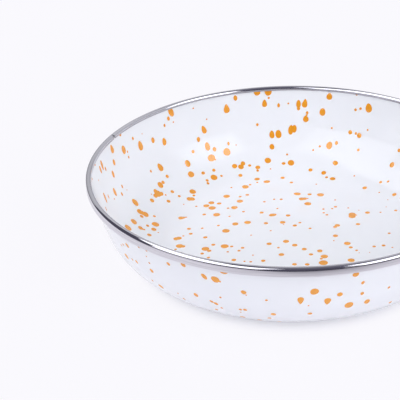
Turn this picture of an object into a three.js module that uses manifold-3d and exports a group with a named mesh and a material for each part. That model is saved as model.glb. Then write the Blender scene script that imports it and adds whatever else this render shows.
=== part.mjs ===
// Shallow salad bowl of enamelled steel: a pressed steel shell under a white coat of
// vitreous enamel inside and another outside, with a stainless strip folded over its lip.
// The shell's edge is turned out and down, and the strip's skirt is clinched under that hem.
// Millimetres, +Z up. The origin is the centre of the foot, on the table.

import * as THREE from 'three';
import { mergeVertices } from 'three/addons/utils/BufferGeometryUtils.js';
import Module from 'manifold-3d';

// Bowl
const RIM_DIAMETER = 250; // over the outside of the strip
const BOWL_HEIGHT = 57; // table to the top of the strip
const WALL_LEAN = 15.72; // degrees that the straight wall leans out; with the rounds it sets the foot
const CORNER_RADIUS = 41; // outside, from the foot into the wall
const NECK_RADIUS = 3; // outside, from the leaning wall into the upright collar

// Sheet and coats
const STEEL_THICKNESS = 0.8;
const ENAMEL_THICKNESS = 0.25; // each coat
const FIT_CLEARANCE = 0.03; // between the layers, and between the strip and what it grips

// Rim strip
const STRIP_THICKNESS = 0.4;
const STRIP_WIDTH = 3.6; // across the fold, from the inside leg to the skirt
const SKIRT_DROP = 5.4; // rim top to the skirt's lower edge
const INNER_LEG_DROP = 2.6; // rim top to the end of the inside leg
const COLLAR_BELOW_LEG = 0.2; // upright wall that shows under the inside leg
const CLINCH_LENGTH = 0.9; // how far the skirt's edge turns in under the hem
const CLINCH_BEND = 0.6; // outside radius of that turn
const SEAM_GAP = 0.3; // between the strip's two ends, from the top of the fold to the skirt
const SEAM_NOTCH = 1.6; // where the ends draw apart at the inside leg
const SEAM_ANGLE = 160.5; // degrees from +X towards +Y

// Facets
const ROUND_STEPS = 60; // round the bowl
const CORNER_STEPS = 8;
const NECK_STEPS = 2;
const FOLD_STEPS = 6; // over the rim, on the lip and on the strip
const BEND_STEPS = 2; // at the clinch

// Distances from the middle of the steel sheet to the faces of the layers
const steelFace = STEEL_THICKNESS / 2;
const coatBack = steelFace + FIT_CLEARANCE;
const coatFace = coatBack + ENAMEL_THICKNESS;

// The strip's fold, in the radius and height plane
const rimRadius = RIM_DIAMETER / 2;
const legInside = rimRadius - STRIP_WIDTH;
const legOutside = legInside + STRIP_THICKNESS;
const skirtInside = rimRadius - STRIP_THICKNESS;
const legEnd = BOWL_HEIGHT - INNER_LEG_DROP;
const skirtEnd = BOWL_HEIGHT - SKIRT_DROP;
const foldRadius = STRIP_WIDTH / 2;
const foldCentre = new THREE.Vector2(rimRadius - foldRadius, BOWL_HEIGHT - foldRadius);

// The middle of the steel sheet, from the foot up to the turned lip
const collarRadius = legOutside + FIT_CLEARANCE + coatFace;
const lipRadius = (skirtInside - FIT_CLEARANCE - steelFace - collarRadius) / 2;
const lipCentre = new THREE.Vector2(collarRadius + lipRadius, foldCentre.y);
const hemEnd = skirtEnd + CLINCH_BEND + FIT_CLEARANCE;
const cornerRadius = CORNER_RADIUS - coatFace;
const neckRadius = NECK_RADIUS - coatFace;
const neckCentre = new THREE.Vector2(collarRadius - neckRadius, legEnd - COLLAR_BELOW_LEG);

// The wall is the straight line that touches the neck at its lean, and the corner is set in so far
// that the line touches it too. The foot is the flat inside the corner
const wallLean = THREE.MathUtils.degToRad(WALL_LEAN);
const cornerRise = neckCentre.y - CORNER_RADIUS;
const cornerInset = (CORNER_RADIUS - NECK_RADIUS + cornerRise * Math.sin(wallLean)) / Math.cos(wallLean);
const cornerCentre = new THREE.Vector2(neckCentre.x - cornerInset, CORNER_RADIUS);

// Points on an arc, both ends included
function arc(centre, radius, fromAngle, toAngle, steps) {
  return Array.from({ length: steps + 1 }, (_, step) => {
    const angle = THREE.MathUtils.lerp(fromAngle, toAngle, step / steps);
    return new THREE.Vector2(Math.cos(angle), Math.sin(angle)).multiplyScalar(radius).add(centre);
  });
}

// A line that keeps one distance from the middle of the sheet, positive on the bowl's outside,
// from the axis along the foot and up the wall to the foot of the collar
function wallLine(offset) {
  return [
    new THREE.Vector2(0, cornerCentre.y - cornerRadius - offset),
    ...arc(cornerCentre, cornerRadius + offset, -Math.PI / 2, -wallLean, CORNER_STEPS),
    ...arc(neckCentre, neckRadius + offset, -wallLean, 0, NECK_STEPS),
  ];
}

// The same line carried over the lip and down to the end of the hem
function sheetLine(offset) {
  return [
    ...wallLine(offset),
    ...arc(lipCentre, lipRadius - offset, Math.PI, 0, FOLD_STEPS),
    new THREE.Vector2(lipCentre.x + lipRadius - offset, hemEnd),
  ];
}

// The same line ended at the top of the collar, where the strip hides the coat's edge
function coatLine(offset) {
  return [...wallLine(offset), new THREE.Vector2(collarRadius + offset, lipCentre.y)];
}

// Section of the strip: inside leg, fold, skirt and clinch, closed on itself
function stripSection() {
  const innerFoldRadius = foldRadius - STRIP_THICKNESS;
  const bendCentre = new THREE.Vector2(rimRadius - CLINCH_BEND, skirtEnd + CLINCH_BEND);
  const innerBendRadius = CLINCH_BEND - STRIP_THICKNESS;
  const clinchEnd = skirtInside - CLINCH_LENGTH;
  const legTip = new THREE.Vector2(legInside, legEnd);
  return [
    legTip,
    new THREE.Vector2(legOutside, legEnd),
    ...arc(foldCentre, innerFoldRadius, Math.PI, 0, FOLD_STEPS),
    ...arc(bendCentre, innerBendRadius, 0, -Math.PI / 2, BEND_STEPS),
    new THREE.Vector2(clinchEnd, skirtEnd + STRIP_THICKNESS),
    new THREE.Vector2(clinchEnd, skirtEnd),
    ...arc(bendCentre, CLINCH_BEND, -Math.PI / 2, 0, BEND_STEPS),
    ...arc(foldCentre, foldRadius, 0, Math.PI, FOLD_STEPS),
    legTip,
  ];
}

// A profile in the radius and height plane, revolved about +Z
function revolve(profile) {
  return new THREE.LatheGeometry(profile, ROUND_STEPS).rotateX(Math.PI / 2);
}

const solids = await Module();
solids.setup();

// A closed geometry as a solid that can be cut
function toSolid(geometry) {
  const bare = geometry.index ? geometry.toNonIndexed() : geometry.clone();
  bare.deleteAttribute('normal');
  bare.deleteAttribute('uv');
  const merged = mergeVertices(bare);
  const mesh = new solids.Mesh({
    numProp: 3,
    vertProperties: merged.attributes.position.array,
    triVerts: new Uint32Array(merged.index.array),
  });
  return new solids.Manifold(mesh);
}

function toGeometry(solid) {
  const mesh = solid.getMesh();
  const geometry = new THREE.BufferGeometry();
  geometry.setAttribute('position', new THREE.BufferAttribute(mesh.vertProperties, mesh.numProp));
  geometry.setIndex(new THREE.BufferAttribute(mesh.triVerts, 1));
  geometry.computeVertexNormals();
  return geometry;
}

// The strip goes once round the rim. Its two ends meet at a narrow open seam, which spreads
// into a notch at the inside leg
function stripGeometry() {
  const seamStart = legInside - STRIP_THICKNESS;
  const seamEnd = rimRadius + STRIP_THICKNESS;
  const plan = new THREE.Shape([
    new THREE.Vector2(seamStart, -SEAM_NOTCH / 2),
    new THREE.Vector2(foldCentre.x, -SEAM_GAP / 2),
    new THREE.Vector2(seamEnd, -SEAM_GAP / 2),
    new THREE.Vector2(seamEnd, SEAM_GAP / 2),
    new THREE.Vector2(foldCentre.x, SEAM_GAP / 2),
    new THREE.Vector2(seamStart, SEAM_NOTCH / 2),
  ]);
  const seam = new THREE.ExtrudeGeometry(plan, { depth: 2 * SKIRT_DROP, bevelEnabled: false })
    .translate(0, 0, skirtEnd - SKIRT_DROP / 2)
    .rotateZ(THREE.MathUtils.degToRad(SEAM_ANGLE));
  return toGeometry(toSolid(revolve(stripSection())).subtract(toSolid(seam)));
}

const white = { color: 0xf1f2f7, roughness: 0.1, metalness: 0 };
const bareSteel = new THREE.MeshStandardMaterial({ color: 0x85878c, roughness: 0.5, metalness: 1 });
const insideWhite = new THREE.MeshStandardMaterial(white);
const outsideWhite = new THREE.MeshStandardMaterial(white);
const stainless = new THREE.MeshStandardMaterial({ color: 0xb7b5bb, roughness: 0.22, metalness: 1 });

const bowl = new THREE.Group();

function addPiece(name, geometry, material) {
  const piece = new THREE.Mesh(geometry, material);
  piece.name = name;
  bowl.add(piece);
}

addPiece('steel_shell', revolve([...sheetLine(steelFace), ...sheetLine(-steelFace).reverse()]), bareSteel);
addPiece('enamel_inside', revolve([...coatLine(-coatBack), ...coatLine(-coatFace).reverse()]), insideWhite);
addPiece('enamel_outside', revolve([...coatLine(coatFace), ...coatLine(coatBack).reverse()]), outsideWhite);
addPiece('rim_band', stripGeometry(), stainless);

export default bowl;
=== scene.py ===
import bpy
import numpy as np
from mathutils import Matrix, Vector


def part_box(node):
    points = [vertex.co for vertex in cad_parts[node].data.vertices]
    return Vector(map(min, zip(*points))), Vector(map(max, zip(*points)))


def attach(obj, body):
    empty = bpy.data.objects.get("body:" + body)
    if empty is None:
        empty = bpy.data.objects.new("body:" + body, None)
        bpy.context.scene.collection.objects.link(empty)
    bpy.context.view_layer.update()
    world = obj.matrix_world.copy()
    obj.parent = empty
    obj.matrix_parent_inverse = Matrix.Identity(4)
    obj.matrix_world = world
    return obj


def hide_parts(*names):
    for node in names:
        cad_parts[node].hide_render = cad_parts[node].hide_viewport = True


# Shallow salad bowl of white enamelled steel, spattered with orange enamel inside and out, with a
# stainless strip clinched round its rim. Metres, +Z up, the middle of the foot at the origin.
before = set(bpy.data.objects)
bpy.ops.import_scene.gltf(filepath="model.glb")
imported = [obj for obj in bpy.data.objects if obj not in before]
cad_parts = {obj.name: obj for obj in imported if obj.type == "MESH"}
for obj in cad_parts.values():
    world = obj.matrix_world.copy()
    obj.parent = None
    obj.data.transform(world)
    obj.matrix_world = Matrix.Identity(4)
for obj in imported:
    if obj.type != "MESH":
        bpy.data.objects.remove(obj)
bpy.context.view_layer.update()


# View
# The camera stands in front of the bowl and looks down into it. Its distance is chosen, and its height,
# lens, aim and roll are those at which the rim's outline falls on the photographed one.
CAMERA_DISTANCE = 0.650
CAMERA_ELEVATION = np.radians(25.986)
CAMERA_ROLL = np.radians(0.316)
FOCAL_PIXELS = 1054.9
IMAGE_SIZE = 400
RIM_CENTRE_PIXEL = np.array([289.48, 161.83])
SENSOR_WIDTH = 36.0

rim_low, rim_high = (np.array(corner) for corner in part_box("rim_band"))
rim_radius = rim_high[0]
bowl_height = rim_high[2]


def turned(vector, axis, angle):
    """A vector turned about a unit axis: its share along the axis stays and the rest turns in its plane."""
    along = axis * np.dot(axis, vector)
    return along + np.cos(angle) * (vector - along) + np.sin(angle) * np.cross(axis, vector)


view_forward = np.array([0, np.cos(CAMERA_ELEVATION), -np.sin(CAMERA_ELEVATION)])
view_right = np.array([1.0, 0.0, 0.0])
view_up = np.cross(view_right, view_forward)
camera_place = np.array([0, 0, bowl_height]) - CAMERA_DISTANCE * view_forward
pan, tilt = np.arctan((RIM_CENTRE_PIXEL - IMAGE_SIZE / 2) / FOCAL_PIXELS)
view_forward, view_right = (turned(v, view_up, pan) for v in (view_forward, view_right))
view_forward, view_up = (turned(v, view_right, tilt) for v in (view_forward, view_up))
view_right, view_up = (turned(v, view_forward, CAMERA_ROLL) for v in (view_right, view_up))

camera_data = bpy.data.cameras.new("camera")
camera_data.sensor_width = SENSOR_WIDTH
camera_data.lens = FOCAL_PIXELS * SENSOR_WIDTH / IMAGE_SIZE
camera = bpy.data.objects.new("camera", camera_data)
camera_axes = np.eye(4)
camera_axes[:3] = np.column_stack([view_right, view_up, -view_forward, camera_place])
camera.matrix_world = Matrix(camera_axes.tolist())
bpy.context.scene.collection.objects.link(camera)
bpy.context.scene.camera = camera


# Studio
# A pale table top that runs on past the view, under a white light tent: grey at the back, paler at the
# right and dim at the left, with a soft box over the left, and two lit panels right and left of the dark
# slit that the camera looks through.
FLOOR_HALF = 20.0
FLOOR_DROP = 0.00002  # keeps the table's face just under the foot
FLOOR_TONES = ((0.96, 0.95, 0.985, 1), (0.97, 0.96, 0.995, 1))
SHADOW_TONES = ((0.84, 0.85, 0.985, 1), (0.85, 0.86, 0.995, 1))  # of the table's face where shadow falls
TENT_TINT = (0.965, 0.975, 1.0, 1)
SHADE_TINT = (0.74, 0.70, 1.0, 1)  # of the tent's darkest parts
SHADE_END = 0.5  # light at which that tint has gone
TENT_EDGE = 0.012  # width over which one part of the tent fades into the next
TENT_LIGHT = (0.48, 0.88)  # of its white back, at its foot and at its top
LEFT_SIDE_LIGHT = 0.12
RIGHT_SIDE_LIGHT = 0.78
LOW_RIGHT_LIGHT = 0.66
SOFT_BOX_LIGHT = 2.35
SLIT_LIGHT = (0.13, 0.34)  # at the camera's side and behind the top
LEFT_SIDE = (-0.10, 0.55)  # shares along X and Y of a direction, under which the left side is dim
RIGHT_SIDE = (0.45, -0.10)  # shares along X and Y over which the right side is pale
LOW_RIGHT = 0.60  # share along Z under which it is less pale
SOFT_BOX = (-0.32, 0.65)  # share along X under which, and share along Z over which, the soft box hangs
SOFT_BOX_TILT = 0.25  # rise of its edge for each share along Y
SLIT_SIDES = (-0.10, 0.45)  # shares along X between which the tent is open
SLIT_ENDS = (0.58, -0.05)  # share along Y where the slit ends behind the top, and along Z where it starts
CAMERA_SIDE = -1.0  # share along Y of the direction straight to the camera's side
# Azimuth from the camera to the right and lean over the bowl, degrees, then half width, foot and top, over
# the distance, and light
PANELS = {
    "right_panel": (58, 0, 0.40, 0.20, 1.38, 2.92),
    "left_panel": (-46, 20, 0.545, -0.10, 1.04, 2.06),
}
TABLE_GLOW = (0.45, 0.95)  # share of the table's white that no shadow reaches, by the bowl and away
GLOW_REACH = (0.086, 0.103)  # from the bowl's axis, where the first share ends and the second starts
MIRROR_REACH = (0.086, 0.113)  # the same, for what mirrors see of the table
TABLE_FRONT = (-0.203, -0.25)  # Y over which mirrors see the table end, on the camera's side
FRONT_SLANT = 0.25  # how far that end draws back for each metre to the right
TABLE_LEFT = (-0.26, -0.40)  # and X at its left
TABLE_SHADE = (0.045, 0.04, 0.065, 1)  # what they see beyond it
TABLE_GRAIN = 0.4
TABLE_ROUGHNESS = 0.8
SMOOTH_EDGE = np.radians(35)  # sharpest edge that is shaded smooth
QUARTER_TURN = 90  # degrees
NOISE_DETAIL = 2.0
MIX_FACTOR, MIX_FIRST, MIX_SECOND = 0, 6, 7  # inputs of a mix node that mixes colours
MIX_RESULT = 2  # its output


def add_node(tree, kind, inputs=None, **settings):
    """A shader node of one kind, with its settings, and its inputs set or linked to a socket."""
    node = tree.nodes.new(kind)
    for name, value in settings.items():
        setattr(node, name, value)
    for name, value in (inputs or {}).items():
        if isinstance(value, bpy.types.NodeSocket):
            tree.links.new(value, node.inputs[name])
        else:
            node.inputs[name].default_value = value
    return node


def math(tree, operation, *values):
    """The result socket of one arithmetic step."""
    return add_node(tree, "ShaderNodeMath", dict(enumerate(values)), operation=operation).outputs[0]


def ramp(tree, value, start, end):
    """A value eased from 0 at start to 1 at end."""
    inputs = {"Value": value, "From Min": start, "From Max": end}
    return add_node(tree, "ShaderNodeMapRange", inputs, interpolation_type="SMOOTHSTEP").outputs["Result"]


def compass(azimuth, elevation):
    """Unit vector from the bowl: azimuth 0 is towards the camera and grows to its right, in degrees."""
    a, e = np.radians([azimuth, elevation])
    return np.array([np.sin(a) * np.cos(e), -np.cos(a) * np.cos(e), np.sin(e)])


def share_along(tree, direction, axis):
    """How much of a direction lies along an axis: their dot product."""
    inputs = {0: direction, 1: tuple(axis)}
    return add_node(tree, "ShaderNodeVectorMath", inputs, operation="DOT_PRODUCT").outputs["Value"]


def under(tree, value, limit):
    """Mask of the values under a limit, eased over the tent's edge."""
    return ramp(tree, value, limit + TENT_EDGE / 2, limit - TENT_EDGE / 2)


def over(tree, value, limit):
    """Mask of the values over a limit, eased over the tent's edge."""
    return ramp(tree, value, limit - TENT_EDGE / 2, limit + TENT_EDGE / 2)


def both(tree, *masks):
    """Mask where all the masks given are."""
    joined = masks[0]
    for mask in masks[1:]:
        joined = math(tree, "MULTIPLY", joined, mask)
    return joined


def panel_mask(tree, direction, azimuth, lean, half_width, foot, top):
    """Mask of a panel that faces the bowl: the direction's shares across the panel and up it, each divided
    by its share towards the panel, lie within the half width, and between foot and top."""
    towards = share_along(tree, direction, compass(azimuth, lean))
    across = share_along(tree, direction, compass(azimuth + QUARTER_TURN, 0))
    upwards = share_along(tree, direction, compass(azimuth + 2 * QUARTER_TURN, QUARTER_TURN - lean))
    aside = math(tree, "ABSOLUTE", math(tree, "DIVIDE", across, towards))
    rise = math(tree, "DIVIDE", upwards, towards)
    ahead = math(tree, "GREATER_THAN", towards, 0.0)
    return both(tree, ahead, under(tree, aside, half_width), over(tree, rise, foot), under(tree, rise, top))


def mix_colour(tree, factor, first, second):
    """One colour turning into another as the factor goes from 0 to 1."""
    inputs = {MIX_FACTOR: factor, MIX_FIRST: first, MIX_SECOND: second}
    return add_node(tree, "ShaderNodeMix", inputs, data_type="RGBA").outputs[MIX_RESULT]


def light_tent():
    """World whose strength is the light of the tent's back, replaced in turn by that of its sides, soft
    box, slit and panels where their masks are: strength plus mask times the difference. The camera itself
    sees it as white as the table."""
    world = bpy.data.worlds.new("light_tent")
    bpy.context.scene.world = world
    world.use_nodes = True
    tree = world.node_tree
    tree.nodes.clear()
    direction = add_node(tree, "ShaderNodeTexCoord").outputs["Generated"]
    right, back, rise = (share_along(tree, direction, axis) for axis in np.eye(3))
    right_side = both(tree, over(tree, right, RIGHT_SIDE[0]), over(tree, back, RIGHT_SIDE[1]))
    box_rise = math(tree, "MULTIPLY_ADD", back, -SOFT_BOX_TILT, rise)
    parts = [
        (both(tree, under(tree, right, LEFT_SIDE[0]), under(tree, back, LEFT_SIDE[1])), LEFT_SIDE_LIGHT),
        (right_side, RIGHT_SIDE_LIGHT),
        (both(tree, right_side, under(tree, rise, LOW_RIGHT)), LOW_RIGHT_LIGHT),
        (both(tree, under(tree, right, SOFT_BOX[0]), over(tree, box_rise, SOFT_BOX[1])), SOFT_BOX_LIGHT),
    ]
    slit_width = both(tree, over(tree, right, SLIT_SIDES[0]), under(tree, right, SLIT_SIDES[1]))
    slit = both(tree, slit_width, under(tree, back, SLIT_ENDS[0]), over(tree, rise, SLIT_ENDS[1]))
    slit_share = ramp(tree, back, CAMERA_SIDE, SLIT_ENDS[0])
    slit_light = math(tree, "MULTIPLY_ADD", slit_share, SLIT_LIGHT[1] - SLIT_LIGHT[0], SLIT_LIGHT[0])
    parts.append((slit, slit_light))
    for *panel, light in PANELS.values():
        parts.append((panel_mask(tree, direction, *panel), light))
    top_share = ramp(tree, rise, 0.0, 1.0)
    strength = math(tree, "MULTIPLY_ADD", top_share, TENT_LIGHT[1] - TENT_LIGHT[0], TENT_LIGHT[0])
    for mask, light in parts:
        strength = math(tree, "MULTIPLY_ADD", mask, math(tree, "SUBTRACT", light, strength), strength)
    tint = mix_colour(tree, ramp(tree, strength, 0.0, SHADE_END), SHADE_TINT, TENT_TINT)
    lit = add_node(tree, "ShaderNodeBackground", {"Color": tint, "Strength": strength})
    seen = add_node(tree, "ShaderNodeBackground", {"Color": FLOOR_TONES[0], "Strength": 1.0})
    by_camera = add_node(tree, "ShaderNodeLightPath").outputs["Is Camera Ray"]
    mix = add_node(tree, "ShaderNodeMixShader", {0: by_camera, 1: lit.outputs[0], 2: seen.outputs[0]})
    add_node(tree, "ShaderNodeOutputWorld", {"Surface": mix.outputs[0]})


def new_material(name):
    """An empty node material, its Principled shader and its tree."""
    material = bpy.data.materials.new(name)
    material.use_nodes = True
    tree = material.node_tree
    tree.nodes.clear()
    shader = add_node(tree, "ShaderNodeBsdfPrincipled")
    add_node(tree, "ShaderNodeOutputMaterial", {"Surface": shader.outputs[0]})
    return material, shader, tree


def object_noise(tree, size, detail=NOISE_DETAIL):
    """Noise on the piece's own coordinates, with features of about the size given in metres."""
    place = add_node(tree, "ShaderNodeTexCoord").outputs["Object"]
    inputs = {"Vector": place, "Scale": 1 / size, "Detail": detail}
    return add_node(tree, "ShaderNodeTexNoise", inputs).outputs["Fac"]


def add_piece(name, vertices, faces, material):
    """A mesh object at the origin, smooth except at the edges where its faces meet at a sharp angle."""
    mesh = bpy.data.meshes.new(name)
    mesh.from_pydata(np.asarray(vertices).tolist(), [], faces)
    mesh.polygons.foreach_set("use_smooth", np.ones(len(mesh.polygons), dtype=bool))
    mesh.set_sharp_from_angle(angle=SMOOTH_EDGE)
    mesh.materials.append(material)
    piece = bpy.data.objects.new(name, mesh)
    bpy.context.scene.collection.objects.link(piece)
    return piece


def pale_table():
    """Matt white table: a diffuse face that takes shadows, mixed for the camera and for mirrors with the
    even glow of the tent's own white. Mirrors see it end in front and at the left."""
    material, shader, tree = new_material("pale_table")
    noise = object_noise(tree, TABLE_GRAIN)
    colour = mix_colour(tree, noise, *FLOOR_TONES)
    shader.inputs["Roughness"].default_value = TABLE_ROUGHNESS
    shader.inputs["Specular IOR Level"].default_value = 0.0
    glow = add_node(tree, "ShaderNodeEmission", {"Color": colour, "Strength": 1.0})
    path = add_node(tree, "ShaderNodeLightPath")
    seen_colour = mix_colour(tree, noise, *SHADOW_TONES)
    face_colour = mix_colour(tree, path.outputs["Is Camera Ray"], colour, seen_colour)
    tree.links.new(face_colour, shader.inputs["Base Color"])
    mirrored = math(tree, "MAXIMUM", path.outputs["Is Glossy Ray"], path.outputs["Is Transmission Ray"])
    place = add_node(tree, "ShaderNodeTexCoord").outputs["Object"]
    distance = add_node(tree, "ShaderNodeVectorMath", {0: place}, operation="LENGTH").outputs["Value"]
    away = ramp(tree, distance, *GLOW_REACH)
    glow_share = math(tree, "MULTIPLY_ADD", away, TABLE_GLOW[1] - TABLE_GLOW[0], TABLE_GLOW[0])
    seen_share = math(tree, "MULTIPLY", path.outputs["Is Camera Ray"], glow_share)
    mirror_away = ramp(tree, distance, *MIRROR_REACH)
    mirrored_share = math(tree, "MULTIPLY", mirrored, math(tree, "MULTIPLY", mirror_away, TABLE_GLOW[1]))
    share = math(tree, "MAXIMUM", seen_share, mirrored_share)
    lit = add_node(tree, "ShaderNodeMixShader", {0: share, 1: shader.outputs[0], 2: glow.outputs[0]})
    shade = add_node(tree, "ShaderNodeEmission", {"Color": TABLE_SHADE, "Strength": 1.0})
    past_front = ramp(tree, share_along(tree, place, (-FRONT_SLANT, 1, 0)), *TABLE_FRONT)
    past_left = ramp(tree, share_along(tree, place, (1, 0, 0)), *TABLE_LEFT)
    past_end = math(tree, "MAXIMUM", past_front, past_left)
    ended = math(tree, "MULTIPLY", path.outputs["Is Glossy Ray"], past_end)
    mix = add_node(tree, "ShaderNodeMixShader", {0: ended, 1: lit.outputs[0], 2: shade.outputs[0]})
    output = next(node for node in tree.nodes if node.type == "OUTPUT_MATERIAL")
    tree.links.new(mix.outputs[0], output.inputs["Surface"])
    return material


light_tent()
floor_corners = FLOOR_HALF * np.array([[-1, -1, 0], [1, -1, 0], [1, 1, 0], [-1, 1, 0]])
floor = add_piece("table_top", floor_corners - [0, 0, FLOOR_DROP], [[0, 1, 2, 3]], pale_table())
bpy.context.scene.view_settings.view_transform = "Standard"


# Steel shell
# One pressing of mild steel sheet: flat foot, large round corner, leaning straight wall and short upright
# collar, with its edge turned out and down into a hem. The coats and the strip hide nearly all of it.
WALL_LEAN = np.radians(15.72)  # of the straight wall, outwards
CORNER_RADIUS = 0.041  # outside, over the coat
NECK_RADIUS = 0.003
STEEL_THICKNESS = 0.0008
INNER_LEG_DROP = 0.0026  # rim top to the end of the strip's inside leg
COLLAR_BELOW_LEG = 0.0002
ROUND_STEPS = 480
CORNER_STEPS = 48
NECK_STEPS = 10
LIP_STEPS = 16
STEEL_GRAIN = 0.006
STEEL_ROUGHNESS = 0.55
STEEL_TONES = ((0.20, 0.20, 0.21, 1), (0.34, 0.34, 0.35, 1))

steel_low, steel_high = (np.array(corner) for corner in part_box("steel_shell"))
outside_high = np.array(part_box("enamel_outside")[1])
inside_low = np.array(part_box("enamel_inside")[0])
steel_face = STEEL_THICKNESS / 2
coat_face = steel_low[2] + steel_face  # from the middle of the sheet to the outer face of either coat
coat_back = inside_low[2] - coat_face
collar_radius = outside_high[0] - coat_face
collar_top = outside_high[2]
lip_radius = (steel_high[0] - steel_face - collar_radius) / 2
lip_centre = np.array([collar_radius + lip_radius, collar_top])
leg_end = bowl_height - INNER_LEG_DROP
neck_centre = np.array([collar_radius - NECK_RADIUS + coat_face, leg_end - COLLAR_BELOW_LEG])
corner_rise = neck_centre[1] - CORNER_RADIUS
corner_inset = (CORNER_RADIUS - NECK_RADIUS + corner_rise * np.sin(WALL_LEAN)) / np.cos(WALL_LEAN)
corner_centre = np.array([neck_centre[0] - corner_inset, CORNER_RADIUS])


def arc(centre, radius, start, end, steps):
    """Points on an arc: the centre plus the radius times cosine and sine of evenly spaced angles."""
    angles = np.linspace(start, end, steps + 1)
    return centre + radius * np.column_stack([np.cos(angles), np.sin(angles)])


def wall_line(offset):
    """Radius and height along a line that keeps one distance from the middle of the sheet, positive outside:
    axis, foot, corner round, straight wall and neck. Each round keeps its centre, and its radius grows."""
    corner_radius = CORNER_RADIUS - coat_face + offset
    neck_radius = NECK_RADIUS - coat_face + offset
    return np.concatenate([
        [[0, CORNER_RADIUS - corner_radius]],
        arc(corner_centre, corner_radius, -np.pi / 2, -WALL_LEAN, CORNER_STEPS),
        arc(neck_centre, neck_radius, -WALL_LEAN, 0, NECK_STEPS),
    ])


def sheet_line(offset):
    """The wall's line carried over the lip's half round and down to the end of the hem."""
    hem_end = rim_low[2] + steel_low[2] + steel_face
    return np.concatenate([
        wall_line(offset),
        arc(lip_centre, lip_radius - offset, np.pi, 0, LIP_STEPS),
        [[lip_centre[0] + lip_radius - offset, hem_end]],
    ])


def coat_line(offset):
    """The wall's line ended at the top of the collar, under the strip."""
    return np.concatenate([wall_line(offset), [[collar_radius + offset, collar_top]]])


def revolve(profile):
    """Closed solid of revolution: a profile point's radius times cosine and sine of the turn gives x and y.
    The first and last point lie on the axis, and a fan joins each of them to the ring beside it."""
    turn = np.linspace(0, 2 * np.pi, ROUND_STEPS, endpoint=False)
    radius, height = profile[1:-1].T
    rings = np.stack([
        np.outer(radius, np.cos(turn)),
        np.outer(radius, np.sin(turn)),
        np.outer(height, np.ones_like(turn)),
    ], axis=-1)
    poles = [[0, 0, profile[0, 1]], [0, 0, profile[-1, 1]]]
    index = np.arange(radius.size * ROUND_STEPS).reshape(radius.size, ROUND_STEPS)
    beside = np.roll(index, -1, axis=1)
    quads = np.stack([index[:-1], beside[:-1], beside[1:], index[1:]], axis=-1).reshape(-1, 4)
    first_fan = np.column_stack([np.full(ROUND_STEPS, index.size), beside[0], index[0]])
    last_fan = np.column_stack([index[-1], beside[-1], np.full(ROUND_STEPS, index.size + 1)])
    faces = quads.tolist() + first_fan.tolist() + last_fan.tolist()
    return np.concatenate([rings.reshape(-1, 3), poles]), faces


def layer(line, near, far):
    """Closed section of a layer: out along its outer face and back along its inner one."""
    return np.concatenate([line(near), line(far)[::-1]])


bare_steel, steel_shader, steel_tree = new_material("bare_steel")
steel_colour = mix_colour(steel_tree, object_noise(steel_tree, STEEL_GRAIN), *STEEL_TONES)
steel_tree.links.new(steel_colour, steel_shader.inputs["Base Color"])
steel_shader.inputs["Metallic"].default_value = 1.0
steel_shader.inputs["Roughness"].default_value = STEEL_ROUGHNESS
steel_shell = add_piece("pressed_shell", *revolve(layer(sheet_line, steel_face, -steel_face)), bare_steel)
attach(steel_shell, "root")
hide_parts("steel_shell")


# White coats
# Vitreous enamel, dipped and fired glossy over the steel inside and out. It flowed a little as it melted,
# so its face is slightly wavy, and its cool white varies faintly with its thickness.
WHITE_TONES = ((0.925, 0.938, 0.973, 1), (0.94, 0.953, 0.988, 1))
RIPPLE_SIZE = 0.016
RIPPLE_HEIGHT = 0.000012
RIPPLE_DETAIL = 1.0
MOTTLE_SIZE = 0.03
MOTTLE_CONTRAST = (0.3, 0.7)  # of the noise, from its darkest patches to its palest
GLOSS_SIZE = 0.004  # of the patches in which the gloss varies
GLOSS_RANGE = (0.002, 0.008)  # least and most roughness
WHITE_IOR = 1.42  # sets how strongly the coats mirror the tent


def glaze_group():
    """Node group of a melted glaze: slow ripples of its face, faint mottling and an uneven gloss."""
    group = bpy.data.node_groups.new("melted_glaze", "ShaderNodeTree")
    for name in ("Ripple", "Mottle", "Gloss"):
        group.interface.new_socket(name=name, in_out="OUTPUT", socket_type="NodeSocketFloat")
    ripple = object_noise(group, RIPPLE_SIZE, RIPPLE_DETAIL)
    mottle = ramp(group, object_noise(group, MOTTLE_SIZE), *MOTTLE_CONTRAST)
    fine = object_noise(group, GLOSS_SIZE)
    spread = GLOSS_RANGE[1] - GLOSS_RANGE[0]
    gloss = math(group, "MULTIPLY_ADD", fine, spread, GLOSS_RANGE[0])
    add_node(group, "NodeGroupOutput", {"Ripple": ripple, "Mottle": mottle, "Gloss": gloss})
    return group


melted_glaze = glaze_group()


def glazed(tree, shader, ior):
    """Puts the melted glaze on a shader, as bump and roughness, and returns its mottling."""
    glaze = add_node(tree, "ShaderNodeGroup", node_tree=melted_glaze)
    bump = add_node(tree, "ShaderNodeBump", {"Height": glaze.outputs["Ripple"], "Distance": RIPPLE_HEIGHT})
    tree.links.new(bump.outputs["Normal"], shader.inputs["Normal"])
    tree.links.new(glaze.outputs["Gloss"], shader.inputs["Roughness"])
    shader.inputs["IOR"].default_value = ior
    return glaze.outputs["Mottle"]


white_enamel, white_shader, white_tree = new_material("white_enamel")
white_mottle = glazed(white_tree, white_shader, WHITE_IOR)
white_colour = mix_colour(white_tree, white_mottle, *WHITE_TONES)
white_tree.links.new(white_colour, white_shader.inputs["Base Color"])

inside_section = layer(coat_line, -coat_back, -coat_face)
outside_section = layer(coat_line, coat_face, coat_back)
inside_coat = add_piece("white_coat_inside", *revolve(inside_section), white_enamel)
outside_coat = add_piece("white_coat_outside", *revolve(outside_section), white_enamel)
for coat, node in ((inside_coat, "enamel_inside"), (outside_coat, "enamel_outside")):
    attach(coat, "root")
    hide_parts(node)


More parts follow.
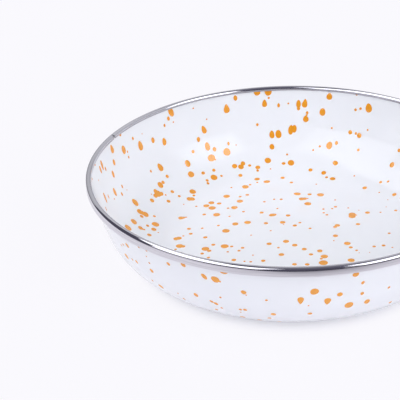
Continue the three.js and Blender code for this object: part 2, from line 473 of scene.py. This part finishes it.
# Orange drops
# A second enamel, spattered over the white coats and fused into them: round on the floor, drawn out into
# tears on the walls. A drop that the photograph shows is placed by its pixel there, with its size in
# millimetres. The rest of both faces gets drops of the same kinds by chance, from a fixed seed.
# Each row is x, y, width, then length up the wall, taper of the upper end and lean to the right, degrees.
BACK_WALL_DROPS = [
    (226.5, 108.6, 3.8, 6.3, 0.9), (235.3, 98, 2.8, 3.8, 0.2), (257, 92.3, 4.5), (268.2, 92.3, 4.6),
    (268.7, 98, 1.6), (264.5, 103.4, 3.3, 5.1, 0.7), (278.6, 105.3, 1.9, 3.1, 0.4), (288.3, 103.5, 1.3),
    (298.5, 104, 3.2, 5.4, 0.2), (298.5, 108.4, 2.4, 2.8), (304.8, 103.4, 3.5, 6, 0.7, 8),
    (305.8, 119, 3.8, 4.4, 0.4), (306.7, 115.2, 1.3, 3, 0, 22), (307.2, 112.8, 1.8, 2.2),
    (329.4, 96.4, 3.8, 4.8, 0.4), (322.5, 112.1, 4.1, 5.2, 0.15), (257.3, 124.7, 1.8, 2.1),
    (271.9, 134.5, 3.5, 5.3, 0.3), (278.4, 134, 4.2, 5.5, 0.3, -6), (290.8, 129.9, 3.5, 6.6, 0.1, 8),
    (294.3, 128.8, 3.3, 5.3, 0.1), (203.8, 129.7, 3.3, 5.8, 0.6, -15), (271.9, 146.8, 3.3, 3.9, 0.2),
    (267.8, 160.5, 4.3, 4.2), (283.6, 163.5, 2.6, 2.2), (291, 162.9, 4.4, 4.3, 0, 30),
    (335.3, 163, 3.7, 3.4, 0, 30), (207.4, 146.5, 3.7, 5.8, 0.2), (214.4, 149.3, 2.8, 3.2),
    (226.8, 151.9, 5, 5.4, 0.25), (211.4, 158, 5.4, 4.8, 0, -20), (215, 159.6, 1.6, 1.4),
    (228.5, 143.6, 1.8, 2.6), (234.6, 166.2, 3.7, 3.4), (240.9, 166.9, 3.9, 3.8),
    (242.9, 163.5, 3.1, 3.3), (249.6, 165.5, 2.3, 2), (257.8, 167.4, 3.3, 2.9), (257.6, 170.5, 1.8, 2.2),
    (240.4, 175.4, 2.7, 2.8), (213.8, 170.3, 2.4, 2.4), (203.1, 173.1, 2.6, 2.5),
    (213.9, 177.5, 4.5, 4.6), (329.3, 145.5, 4, 5.3, 0.1, 8), (336.5, 143, 2.2, 2.8), (331.8, 128, 1.5),
    (310.5, 170, 2.7, 2.8), (323.7, 172.8, 3.2, 3.4), (332.6, 178.7, 3.8, 3), (206.6, 119.3, 1.1),
    (319.8, 146.4, 1.6), (313.1, 150.1, 1.4), (287.1, 154.5, 1.5), (270.5, 169, 1.1), (236.1, 145, 0.9),
    (221.5, 175.9, 1.8), (326.6, 177.3, 2), (207.1, 180.5, 2, 2.4), (207.9, 183.3, 1.9, 2.4),
    (316.3, 184.2, 1.2),
]
LEFT_WALL_DROPS = [
    (120.2, 134.5, 2.4), (171, 112.4, 4, 6, 0, -16), (168.4, 118.6, 2.3, 3), (164.5, 125.5, 1.7, 2.3),
    (173.3, 122.1, 1.1), (142, 133.8, 0.8), (132.8, 138.5, 1.9, 2.3), (140.4, 145.6, 4.1, 6.4, 0.5),
    (152.9, 140.3, 2.9, 3.9), (164.2, 141.7, 3.3, 5.2, 0.3), (112, 149, 3.8, 5.6, 0.3),
    (123.6, 149.8, 3.9, 5.8, 0.3), (127.4, 151.7, 1.3, 1.8), (128.7, 157.1, 1.5, 2),
    (114, 162.4, 2.8, 4.2), (113.1, 174.2, 3, 4.8), (102, 165.1, 3.1, 6.4, 0, 9),
    (100.5, 169.6, 2.9, 4.8, 0, 7), (105.5, 168.9, 2, 3), (94.9, 164.4, 2), (92.1, 178.8, 1.7),
    (98.5, 180.2, 1.2), (150.8, 171.2, 1.6, 2), (160.2, 167.2, 3.8, 5.8, 0.6, -12),
    (167.1, 176.4, 2.4, 2.5), (160.4, 185, 3.9, 4.6), (163, 182.4, 2.5), (157.6, 193.6, 5, 5.2),
    (161.2, 193.9, 3.6, 3), (155.7, 191.3, 3.2, 3.4), (155.4, 195.9, 3, 3.2), (151.3, 194.2, 1),
    (165.6, 195, 1.3), (152, 200.5, 3.1), (168.5, 201.2, 2.7), (172.3, 191.7, 2.5), (179.2, 196.2, 2),
    (122.1, 186.5, 1.8, 2.5), (121.9, 194.1, 1.9, 2.7), (114.7, 192, 3.2, 5.6), (126.9, 190, 0.8),
    (114.3, 199, 1.2), (105.1, 197.7, 3.2, 7), (108.4, 196.6, 1.6, 3), (106, 208.8, 1.8, 3),
    (198.4, 139.5, 2.5, 3.6), (193, 151.7, 2.4), (187.6, 163.5, 3.9, 5, 0.1), (191, 174.4, 4.6, 4.4),
    (193.2, 108.3, 1.2), (135.2, 202.5, 4.3, 5.6), (139.7, 211.6, 4.1), (142.5, 213.1, 3.6),
    (145.4, 214.4, 4.5, 4.4), (141.7, 216.4, 2.6), (133.8, 221.7, 4.4), (128, 227.8, 4.9),
    (154.3, 216.2, 2), (155.4, 224.4, 4.7), (153.7, 229.4, 3.4), (147.6, 225.7, 2.3), (140.3, 227.9, 3.3),
    (142.2, 228.8, 2), (144.1, 229.6, 1.6), (149.3, 234.9, 2.9), (158.2, 232.6, 1.1),
]
FLOOR_DROPS = [
    (192.6, 191.7, 4.3), (193.8, 195.5, 2), (189.4, 199, 3.7), (192.1, 199, 3.7), (196.3, 206.4, 1.6),
    (183.7, 204.4, 1), (181, 218, 3.7), (183.3, 217.7, 2.7), (185.9, 217.3, 1.6), (188.9, 228.8, 2.6),
    (190.7, 233.8, 2.4), (176.1, 238.8, 3.6), (178.7, 238.2, 3.8), (183.2, 236, 1.5), (179.5, 246.1, 4.5),
    (183, 246.4, 2.8), (175.5, 249.4, 1.7), (257.1, 179.1, 3.8, 2.6), (257.3, 182.4, 1.5),
    (266.8, 181.7, 4.5, 3.1), (282.6, 177.8, 2.9, 2.3), (291.4, 182.5, 2.3), (245.4, 186.9, 4.5),
    (250.1, 184.7, 1.8), (226.6, 196.3, 4.3), (231.4, 187.5, 1.4), (297.3, 193.9, 4.6, 3.8),
    (320.5, 194.8, 4.5), (309.6, 194.3, 2.8), (301.7, 198.9, 3.8), (304.4, 198.7, 3.3), (307.6, 198.5, 1.4),
    (307.8, 203.7, 4.4), (211.3, 202.8, 3.9), (206.3, 205.8, 3.9), (212.1, 208, 4.7), (219.1, 203.5, 3),
    (239.9, 201.2, 4.1), (240.2, 196.7, 2.1), (247.3, 194.9, 2.5), (234.3, 207.6, 4.2), (228, 208.2, 1.8),
    (243.4, 211.7, 1.9), (216.6, 214.7, 4.4), (204.2, 214.5, 2.4), (229.4, 216.4, 1.5),
    (264.3, 201.8, 1.9), (274.1, 199.3, 1.6), (281.2, 199.3, 2.1), (277.4, 208.5, 1.5),
    (261.6, 212.6, 2.7), (272.6, 214.9, 5, 3.4), (288.1, 215.5, 2.9), (282.6, 222.3, 3.5),
    (283.5, 224.5, 1.1), (265.9, 223.2, 2.8), (247.6, 222.4, 4.1), (235.2, 223.9, 3.9), (218.3, 225.5, 1.9),
    (202.2, 228.2, 1.8), (225.8, 230.9, 4.6), (205.2, 237.4, 2.7), (213.2, 244.8, 2.5),
    (205.3, 248.9, 4.6), (209.1, 250.8, 2.7), (202.1, 253.6, 2.3), (208.4, 257.6, 2), (224.6, 246.3, 4.7),
    (231.6, 246.5, 2.1), (242.5, 247.9, 2.3), (238.9, 250.8, 2), (227.7, 251.9, 1.6), (252.8, 255.3, 1.2),
    (233.8, 260, 2.8), (244.4, 261.4, 1.4), (250.7, 261.8, 1.7), (263.1, 260.9, 2.6), (251, 235.2, 1.2),
    (270.7, 230.7, 1.3), (269.1, 243.8, 3.1), (278.4, 247.7, 1.7), (286, 241.4, 3.7), (294.8, 245.2, 3.2),
    (304.3, 249.2, 3), (311, 254.4, 2.6), (319.9, 251, 3.3), (324.4, 256.5, 4.2), (321.4, 258.9, 1.9),
    (323.4, 262.8, 5.2), (281.4, 254.7, 3.3), (294.5, 264.4, 2.8), (307.2, 264.5, 2.7),
    (294.8, 225.5, 2.7), (299.9, 222.7, 1.9), (310.1, 228.4, 1.9), (337.4, 225.4, 3.3), (335, 227, 2.4),
    (335.5, 235.8, 3.2), (333.8, 240.7, 1.1), (323.4, 209.1, 1.7), (323.7, 212.8, 1.7),
    (326.9, 214.8, 1.9), (332.2, 208.7, 1.6), (335.5, 206.8, 2.1), (335.2, 200, 1.3),
]
OUTSIDE_DROPS = [
    (127.2, 245.4, 3.2), (123.2, 244.5, 1.6), (121.4, 245.2, 1.6), (138.5, 246.8, 1.7),
    (126.7, 256.3, 3.8), (132.3, 259.5, 1.7), (136.6, 261.8, 2.4), (146.3, 250.6, 1.5), (146.4, 256.4, 1),
    (149.3, 263, 1.4), (151.7, 270.7, 2.8), (152.5, 280.6, 1.5), (161, 286.5, 3.6),
    (168.3, 263.9, 2.2, 2.5, 0, -25), (183.2, 264.8, 2.8, 3.2, 0, -30), (178, 293.3, 1.1),
    (184.1, 298.9, 1.9), (196, 294.9, 2.6, 3, 0, -15), (204.1, 276.5, 2.8, 4.2, 0, -30),
    (215.2, 279.3, 4.5, 4.4), (219.3, 281, 1.4, 2.2, 0, -55), (223.6, 271.5, 4.3, 3.6),
    (243.6, 292.2, 2.8, 3, 0, -40), (246.2, 294.9, 1), (220.4, 297.3, 1.3),
    (211.6, 301.5, 1.9, 2.4, 0, -50), (216, 303.6, 2.2, 2.8, 0, -50), (221.7, 307.9, 1.5),
    (216.6, 309.5, 2), (240.4, 309.5, 1.8), (245, 309.8, 2.2), (240.6, 312.2, 1), (242.7, 316.9, 3),
    (259.6, 319.8, 2.8), (279.4, 321.6, 2.8), (266.4, 300.2, 1.4), (273.4, 314.2, 2.8),
    (269.5, 318.1, 2.2), (300.6, 300.5, 3, 5.2, -0.9), (314.5, 291.5, 4.2, 4.6, 0, 25),
    (327.5, 301.1, 3.3, 4.8, -0.8), (308.5, 305.5, 0.9), (309.9, 313.6, 2.4), (339.9, 294.3, 3),
]
CHANCE_INSIDE = (430, 11)  # drops over the whole face before the photographed part is left out, and seed
CHANCE_OUTSIDE = (185, 12)
WOBBLE_SEED = 11
CHANCE_WIDTHS = (0.0023, 0.5, 0.0009, 0.0052)  # middle, spread of the logarithm, least and most
CHANCE_TEAR = 0.35  # how much longer than wide, and how tapered, a chance drop is on an upright wall
CHANCE_LEAN = 9  # degrees
PHOTO_EDGE = 340  # x where the photograph ends
SIGHT_MARGIN = 0.004  # how far a chance drop stays from what the photograph shows
SIGHT_SLACK = 0.001  # between a point and where its ray meets the face
NORMAL_STEP = 0.0001  # along the line, to both sides of where a normal is taken
DROP_FOOT_GAP = 0.004  # from the flat foot, which stays clean
DROP_SECTORS = 20
DROP_RINGS = (1.0, 0.75)  # shares of the way from the middle to the outline
DROP_RISE = (0.00004, 0.018)  # height of a drop: least, and share of its width on top
DROP_SINK = 0.000015  # of the outline, into the coat
DROP_WOBBLE = 0.035
WOBBLE_WAVES = (2, 3)  # round the outline
DROP_SPREAD = 1.14  # the sunk edge takes this much off the width that shows
ORANGE_EDGE = (0.92, 0.43, 0.075, 1)
ORANGE_TONES = ((0.89, 0.33, 0.013, 1), (0.92, 0.365, 0.021, 1))
ORANGE_IOR = 1.75  # sets how strongly the drops mirror the tent
MILLIMETRES = 1000  # in a metre
SEARCH_STEPS = 3000  # along a ray, or along a face's line
RAY_REACH = 0.45  # length of the searched part of a ray, from the bowl's near side


def full_drop(x, y, width, length=None, taper=0.0, lean=0.0):
    """A listed drop with what its row leaves out: as long as it is wide, not tapered and upright."""
    return x, y, width, length or width, taper, lean


class CoatFace:
    """The seen face of a coat as a line of radius and height, with its length from the axis. The side is 1
    for the inside and -1 for the outside."""

    def __init__(self, side):
        self.side = side
        self.line = coat_line(-side * coat_face)
        steps = np.hypot(*np.diff(self.line, axis=0).T)
        self.length = np.concatenate([[0], np.cumsum(steps)])

    def at(self, length):
        """Radius and height at a length along the line."""
        return np.stack([np.interp(length, self.length, self.line[:, i]) for i in range(2)], axis=-1)

    def normal(self, length):
        """Unit normal out of the coat: the line's direction, from points close to both sides, turned."""
        ahead, behind = self.at(length + NORMAL_STEP), self.at(length - NORMAL_STEP)
        radial, upright = np.moveaxis(ahead - behind, -1, 0)
        return self.side * np.stack([-upright, radial], axis=-1) / np.hypot(radial, upright)[..., None]

    def length_at(self, radius, height):
        """Length along the line at a point on it. The sum of radius and height grows all along the line."""
        return np.interp(radius + height, self.line.sum(axis=1), self.length)

    def hit(self, x, y):
        """Azimuth and length where the rays through pixels first cross the face. A point is beyond the face
        when its radius is over the line's radius at its height, seen from the inside, or under it."""
        middle = IMAGE_SIZE / 2
        across = np.outer((x - middle) / FOCAL_PIXELS, view_right)
        up = np.outer((middle - y) / FOCAL_PIXELS, view_up)
        ray = view_forward + across + up
        start = CAMERA_DISTANCE - RAY_REACH / 2
        if self.side > 0:
            start = (bowl_height - camera_place[2]) / ray[:, 2]
        travel = np.reshape(start, (-1, 1)) + np.linspace(0, RAY_REACH, SEARCH_STEPS)
        points = camera_place + travel[..., None] * ray[:, None]
        radius = np.hypot(points[..., 0], points[..., 1])
        below_foot = -1.0
        limit = np.interp(points[..., 2], self.line[:, 1], self.line[:, 0], left=below_foot)
        crossed = self.side * (radius - limit) > 0
        found = points[np.arange(len(points)), np.argmax(crossed, axis=1)]
        azimuth = np.arctan2(found[:, 1], found[:, 0])
        return azimuth, self.length_at(np.hypot(found[:, 0], found[:, 1]), found[:, 2])


def listed_drops(face, *lists):
    """Azimuth, length along the line, width, length, taper and lean of the drops listed by pixel."""
    rows = np.array([full_drop(*row) for drops in lists for row in drops])
    x, y, width, length, taper, lean = rows.T
    azimuth, along = face.hit(x, y)
    sizes = DROP_SPREAD * np.column_stack([width, length]) / MILLIMETRES
    return np.column_stack([azimuth, along, sizes, taper, np.radians(lean)])


def photographed(face, azimuth, along):
    """Whether points on a face are in the photograph: the ray through a point's pixel meets it there."""
    radius, height = face.at(along).T
    offset = np.column_stack([radius * np.cos(azimuth), radius * np.sin(azimuth), height]) - camera_place
    depth = offset @ view_forward
    x = IMAGE_SIZE / 2 + FOCAL_PIXELS * (offset @ view_right) / depth
    y = IMAGE_SIZE / 2 - FOCAL_PIXELS * (offset @ view_up) / depth
    seen_azimuth, seen_along = face.hit(x, y)
    same_turn = np.cos(seen_azimuth - azimuth) > np.cos(SIGHT_SLACK / np.maximum(radius, SIGHT_SLACK))
    return (np.abs(seen_along - along) < SIGHT_SLACK) & same_turn & (x < PHOTO_EDGE)


def chance_drops(face, start, end, count, seed):
    """Drops spread evenly over a face between two lengths along its line. Even spread means that the length
    is drawn by the area up to it. Drops with any side in the photograph are left out."""
    dice = np.random.default_rng(seed)
    lengths = np.linspace(start, end, SEARCH_STEPS)
    area = np.cumsum(face.at(lengths)[:, 0])
    along = np.interp(dice.random(count) * area[-1], area, lengths)
    azimuth = dice.uniform(-np.pi, np.pi, count)
    middle, spread, least, most = CHANCE_WIDTHS
    width = np.clip(middle * np.exp(spread * dice.standard_normal(count)), least, most)
    steepness = np.abs(face.normal(along)[:, 0])
    tear = CHANCE_TEAR * steepness * dice.random(count)
    lean = np.radians(CHANCE_LEAN) * dice.standard_normal(count)
    drops = np.column_stack([azimuth, along, width, width * (1 + tear), face.side * tear, lean])
    turn = SIGHT_MARGIN / rim_radius
    around = ((0, 0), (0, SIGHT_MARGIN), (0, -SIGHT_MARGIN), (turn, 0), (-turn, 0))
    return drops[~np.any([photographed(face, azimuth + a, along + b) for a, b in around], axis=0)]


def drop_mesh(face, drops, top):
    """Low closed domes on a face. An outline point at angle t lies at half the width times cos t, narrowed
    by half the taper times sin t, and half the length times sin t, wobbled, then leaned. It is wrapped on
    the face as on a cone. Rings share its form, sunk at the edge and risen by 1 - share squared."""
    dice = np.random.default_rng(WOBBLE_SEED)
    azimuth, along, width, length, taper, lean = drops.T[:, :, None]
    t = np.linspace(0, 2 * np.pi, DROP_SECTORS, endpoint=False)
    phases = dice.uniform(0, 2 * np.pi, (len(WOBBLE_WAVES), len(drops), 1))
    waves = [np.sin(count * t + phase) for count, phase in zip(WOBBLE_WAVES, phases)]
    wobble = 1 + DROP_WOBBLE * np.mean(waves, axis=0)
    across = wobble * width / 2 * np.cos(t) * (1 - taper / 2 * np.sin(t))
    up = wobble * length / 2 * np.sin(t)
    sine, cosine = np.sin(lean), np.cos(lean)
    leaned = np.stack([across * cosine + up * sine, up * cosine - across * sine])
    share = np.concatenate([np.repeat(DROP_RINGS, DROP_SECTORS), [0]])
    outline = np.concatenate([np.tile(leaned, len(DROP_RINGS)), np.zeros((2, len(drops), 1))], axis=-1)
    u, v = outline * share
    slope = np.abs(face.normal(along)[..., 1])
    reach = face.at(along)[..., 0] + v * slope
    turn = azimuth - face.side * np.arctan2(u, reach)
    place = np.minimum(along + v + slope * (np.hypot(u, reach) - reach), top)
    rise = (DROP_RISE[0] + DROP_RISE[1] * width) * (1 - share**2) - DROP_SINK * (share == 1)
    radius, height = np.moveaxis(face.at(place) + rise[..., None] * face.normal(place), -1, 0)
    vertices = np.stack([radius * np.cos(turn), radius * np.sin(turn), height], axis=-1)
    index = np.arange(share.size * len(drops)).reshape(len(drops), share.size)
    edge, middle = np.moveaxis(index[:, :-1].reshape(len(drops), len(DROP_RINGS), DROP_SECTORS), 1, 0)
    edge_beside, middle_beside = (np.roll(ring, -1, axis=-1) for ring in (edge, middle))
    quads = np.stack([edge, edge_beside, middle_beside, middle], axis=-1).reshape(-1, 4)
    centre = np.broadcast_to(index[:, -1:], middle.shape)
    fans = np.stack([middle, middle_beside, centre], axis=-1).reshape(-1, 3)
    faces = quads.tolist() + fans.tolist() + edge[:, ::-1].tolist()
    return vertices.reshape(-1, 3), faces, np.tile(share, len(drops))


orange_enamel, orange_shader, orange_tree = new_material("orange_enamel")
orange_mottle = glazed(orange_tree, orange_shader, ORANGE_IOR)
orange_body = mix_colour(orange_tree, orange_mottle, *ORANGE_TONES)
drop_share = add_node(orange_tree, "ShaderNodeAttribute", attribute_name="outline_share").outputs["Fac"]
edge_share = ramp(orange_tree, drop_share, *DROP_RINGS[::-1])
orange_colour = mix_colour(orange_tree, edge_share, orange_body, ORANGE_EDGE)
orange_tree.links.new(orange_colour, orange_shader.inputs["Base Color"])

inside_face, outside_face = CoatFace(1), CoatFace(-1)
inside_top = inside_face.length_at(collar_radius - coat_face, leg_end)
outside_top = outside_face.length_at(collar_radius + coat_face, rim_low[2])
outside_start = corner_centre[0] + DROP_FOOT_GAP
inside_drops = np.concatenate([
    listed_drops(inside_face, BACK_WALL_DROPS, LEFT_WALL_DROPS, FLOOR_DROPS),
    chance_drops(inside_face, 0, inside_top, *CHANCE_INSIDE),
])
outside_drops = np.concatenate([
    listed_drops(outside_face, OUTSIDE_DROPS),
    chance_drops(outside_face, outside_start, outside_top, *CHANCE_OUTSIDE),
])
for name, face, drops, top in (("splatter_inside", inside_face, inside_drops, inside_top),
                               ("splatter_outside", outside_face, outside_drops, outside_top)):
    vertices, faces, shares = drop_mesh(face, drops, top)
    splatter = add_piece(name, vertices, faces, orange_enamel)
    splatter.data.attributes.new("outline_share", "FLOAT", "POINT").data.foreach_set("value", shares)
    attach(splatter, "root")


# Rim strip
# Stainless strip rolled to a channel and folded over the lip: short inside leg, polished round fold, longer
# brushed skirt, and its edge clinched in under the hem. Its ends meet at an open seam at the left.
STRIP_THICKNESS = 0.0004
STRIP_WIDTH = 0.0036
CLINCH_BEND = 0.0006
CLINCH_LENGTH = 0.0009
SEAM_ANGLE = np.radians(160.5)
SEAM_GAP = 0.0003
SEAM_NOTCH = 0.0016  # where the ends draw apart at the inside leg
FOLD_STEPS = 24
BEND_STEPS = 6
FOLD_GLOSS = 0.07  # roughness
SKIRT_GLOSS = (0.24, 0.40)  # least and most roughness
BRUSH_LENGTH = 0.02
BRUSH_WIDTH = 0.0003
BRUSH_DEPTH = 0.000008
STAIN_SIZE = 0.004
BRUSH_CONTRAST = (0.35, 0.65)  # of the noise, from its darkest lines to its palest
# The inside leg is the same stainless as the fold and skirt but is given darker tones: painted shade where
# it meets the white coat.
SHADED_LEG_TONES = ((0.42, 0.41, 0.45, 1), (0.50, 0.49, 0.535, 1))
FOLD_TONES = ((0.65, 0.64, 0.70, 1), (0.70, 0.69, 0.75, 1))
SKIRT_TONES = ((0.64, 0.62, 0.68, 1), (0.78, 0.76, 0.82, 1))


def strip_section():
    """Closed section of the strip: up the channel's inside from the leg, round the fold and the clinch's
    bend, then back over its outside. Returns radius and height."""
    fold_radius = STRIP_WIDTH / 2
    fold_centre = np.array([rim_radius - fold_radius, bowl_height - fold_radius])
    bend_centre = np.array([rim_radius, rim_low[2]]) + [-CLINCH_BEND, CLINCH_BEND]
    leg = rim_radius - STRIP_WIDTH
    clinch_end = rim_radius - STRIP_THICKNESS - CLINCH_LENGTH
    return np.concatenate([
        [[leg, leg_end], [leg + STRIP_THICKNESS, leg_end]],
        arc(fold_centre, fold_radius - STRIP_THICKNESS, np.pi, 0, FOLD_STEPS),
        arc(bend_centre, CLINCH_BEND - STRIP_THICKNESS, 0, -np.pi / 2, BEND_STEPS),
        [[clinch_end, rim_low[2] + STRIP_THICKNESS], [clinch_end, rim_low[2]]],
        arc(bend_centre, CLINCH_BEND, -np.pi / 2, 0, BEND_STEPS),
        arc(fold_centre, fold_radius, 0, np.pi, FOLD_STEPS),
    ])


def strip_mesh():
    """The section carried once round the rim from one side of the seam to the other. Half the seam's gap,
    which grows from the top of the fold to the notch at the leg, is taken off both ends."""
    section = strip_section()
    radius, height = section.T
    leg = rim_radius - STRIP_WIDTH
    fold_top = rim_radius - STRIP_WIDTH / 2
    half_gap = np.interp(radius, [leg, fold_top], [SEAM_NOTCH / 2, SEAM_GAP / 2]) / radius
    share = np.linspace(0, 1, ROUND_STEPS + 1)[:, None]
    turn = SEAM_ANGLE + half_gap + share * (2 * np.pi - 2 * half_gap)
    heights = np.broadcast_to(height, turn.shape)
    grid = np.stack([radius * np.cos(turn), radius * np.sin(turn), heights], axis=-1)
    index = np.arange(turn.size).reshape(turn.shape)
    beside = np.roll(index, -1, axis=1)
    quads = np.stack([index[:-1], index[1:], beside[1:], beside[:-1]], axis=-1).reshape(-1, 4)
    faces = quads.tolist() + [index[0].tolist(), index[-1][::-1].tolist()]
    return grid.reshape(-1, 3), faces


def brushed_skirt(tree):
    """Fine lines that run along the skirt, as noise squeezed in height, the mask of the strip below the
    fold, and that of its inside."""
    place = add_node(tree, "ShaderNodeTexCoord").outputs["Object"]
    scale = (1 / BRUSH_LENGTH, 1 / BRUSH_LENGTH, 1 / BRUSH_WIDTH)
    squeezed = add_node(tree, "ShaderNodeMapping", {"Vector": place, "Scale": scale}).outputs[0]
    inputs = {"Vector": squeezed, "Scale": 1.0, "Detail": NOISE_DETAIL}
    lines = add_node(tree, "ShaderNodeTexNoise", inputs)
    fold_foot = bowl_height - STRIP_WIDTH / 2
    below = ramp(tree, share_along(tree, place, (0, 0, 1)), fold_foot + STRIP_THICKNESS, fold_foot)
    flat = add_node(tree, "ShaderNodeVectorMath", {0: place, 1: (1, 1, 0)}, operation="MULTIPLY").outputs[0]
    radius = add_node(tree, "ShaderNodeVectorMath", {0: flat}, operation="LENGTH").outputs["Value"]
    return lines.outputs["Fac"], below, math(tree, "LESS_THAN", radius, rim_radius - STRIP_WIDTH / 2)


stainless, strip_shader, strip_tree = new_material("stainless_strip")
strip_shader.inputs["Metallic"].default_value = 1.0
brush_lines, on_skirt, inside_strip = brushed_skirt(strip_tree)
fold_colour = mix_colour(strip_tree, object_noise(strip_tree, STAIN_SIZE), *FOLD_TONES)
line_share = ramp(strip_tree, brush_lines, *BRUSH_CONTRAST)
skirt_colour = mix_colour(strip_tree, line_share, *SKIRT_TONES)
# painted shade: the inside leg takes the darker tones
shaded_leg_colour = mix_colour(strip_tree, line_share, *SHADED_LEG_TONES)
side_colour = mix_colour(strip_tree, inside_strip, skirt_colour, shaded_leg_colour)
strip_colour = mix_colour(strip_tree, on_skirt, fold_colour, side_colour)
strip_tree.links.new(strip_colour, strip_shader.inputs["Base Color"])
gloss_spread = SKIRT_GLOSS[1] - SKIRT_GLOSS[0]
line_roughness = math(strip_tree, "MULTIPLY_ADD", brush_lines, gloss_spread, SKIRT_GLOSS[0])
skirt_more = math(strip_tree, "SUBTRACT", line_roughness, FOLD_GLOSS)
strip_roughness = math(strip_tree, "MULTIPLY_ADD", on_skirt, skirt_more, FOLD_GLOSS)
strip_tree.links.new(strip_roughness, strip_shader.inputs["Roughness"])
line_height = math(strip_tree, "MULTIPLY", brush_lines, on_skirt)
line_bump = add_node(strip_tree, "ShaderNodeBump", {"Height": line_height, "Distance": BRUSH_DEPTH})
strip_tree.links.new(line_bump.outputs["Normal"], strip_shader.inputs["Normal"])
rim_strip = add_piece("rim_strip", *strip_mesh(), stainless)
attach(rim_strip, "root")
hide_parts("rim_band")
